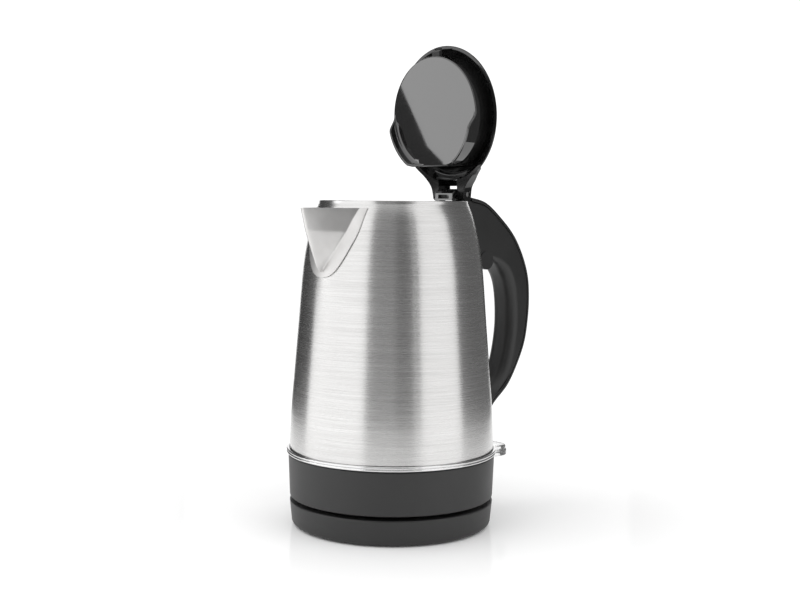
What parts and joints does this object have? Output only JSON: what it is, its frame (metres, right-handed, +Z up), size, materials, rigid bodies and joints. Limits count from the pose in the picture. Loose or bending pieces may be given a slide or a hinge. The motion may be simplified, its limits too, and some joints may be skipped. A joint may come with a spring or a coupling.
{
  "type": "electric kettle",
  "caption": "Brushed-steel cordless electric kettle with V spout, black D handle, open black lid, dark base housing with clear lever, and round power base.",
  "frame": {"origin": "on the power base's axis, at the table, the underside's middle standing 1 mm above it", "axes": "+Z up, spout towards -X, handle and lid hinge towards +X"},
  "size_m": [0.2305, 0.1599, 0.3641],
  "materials": {
    "steel_brushed": "horizontally brushed",
    "steel_polished": "polished",
    "housing_grey": "fine matt grain",
    "black_gloss": "high gloss",
    "black_satin": "satin",
    "clear_lever": "clear moulded",
    "inner_plastic": "moulded",
    "brass_contact": "plain",
    "aluminium_disc": "rolled",
    "zinc_steel": "zinc plated",
    "foot_rubber": "matt",
    "lamp_glass": "clear"
  },
  "bodies": {
    "power_base": {"power_base_top": "housing_grey", "power_base_plate": "housing_grey", "foot_1": "foot_rubber", "foot_2": "foot_rubber", "foot_3": "foot_rubber", "base_connector": "black_satin", "base_ring_contact": "brass_contact", "base_pin_contact": "brass_contact", "cord_gland": "black_satin", "base_screw_1": "zinc_steel", "base_screw_2": "zinc_steel", "base_screw_3": "zinc_steel"},
    "connector": {"connector_socket": "inner_plastic", "connector_ring": "brass_contact", "connector_pin": "brass_contact"},
    "jug": {"jug_body": "steel_brushed", "spout": "steel_brushed", "spout_strainer": "steel_brushed", "trim_ring": "steel_polished", "base_housing": "housing_grey", "housing_plate": "black_satin", "housing_screw_1": "zinc_steel", "housing_screw_2": "zinc_steel", "housing_screw_3": "zinc_steel", "heating_plate": "steel_brushed", "heat_spreader": "aluminium_disc", "heating_element": "zinc_steel", "control_unit": "inner_plastic", "bimetal_disc": "brass_contact", "steam_switch": "inner_plastic", "steam_tube": "steel_brushed", "indicator_lamp": "lamp_glass", "lever_pin": "zinc_steel", "handle_shell": "black_satin", "handle_back": "black_satin", "handle_screw_upper": "zinc_steel", "handle_screw_lower": "zinc_steel", "hinge_bracket": "black_satin", "hinge_pin": "steel_polished", "lid_spring": "steel_polished"},
    "lid": {"lid_shell": "black_gloss", "lid_plug": "black_gloss"},
    "latch": {"latch_bolt": "black_satin", "latch_spring": "steel_polished"},
    "button": {"release_button": "black_satin"},
    "lever": {"switch_lever": "clear_lever"}
  },
  "joints": [
    {"name": "lift_off", "type": "slide", "parent": "power_base", "child": "connector", "axis": [0, 0, 1], "range_m": [0, 0.12]},
    {"name": "kettle_turn", "type": "hinge", "parent": "connector", "child": "jug", "pos_m": [0, 0, 0], "axis": [0, 0, 1], "continuous": true},
    {"name": "lid_hinge", "type": "hinge", "parent": "jug", "child": "lid", "pos_m": [0.0625, 0, 0.248], "axis": [0, -1, 0], "range_deg": [0, 86.8], "stiffness_Nm_per_rad": 0.06, "springref_deg": -28.65},
    {"name": "release_press", "type": "slide", "parent": "lid", "child": "button", "axis": [-0.9984, 0, -0.0558], "range_m": [0, 0.0025], "stiffness_N_per_m": 400},
    {"name": "latch_slide", "type": "slide", "parent": "lid", "child": "latch", "axis": [0.0558, 0, -0.9984], "range_m": [0, 0.0025], "stiffness_N_per_m": 300},
    {"name": "lever_rock", "type": "hinge", "parent": "jug", "child": "lever", "pos_m": [0.068, 0, 0.04], "axis": [0, 1, 0], "range_deg": [0, 9]}
  ],
  "couplings": [
    {"joint": "latch_slide", "follows": "release_press", "ratio": 0.9}
  ]
}
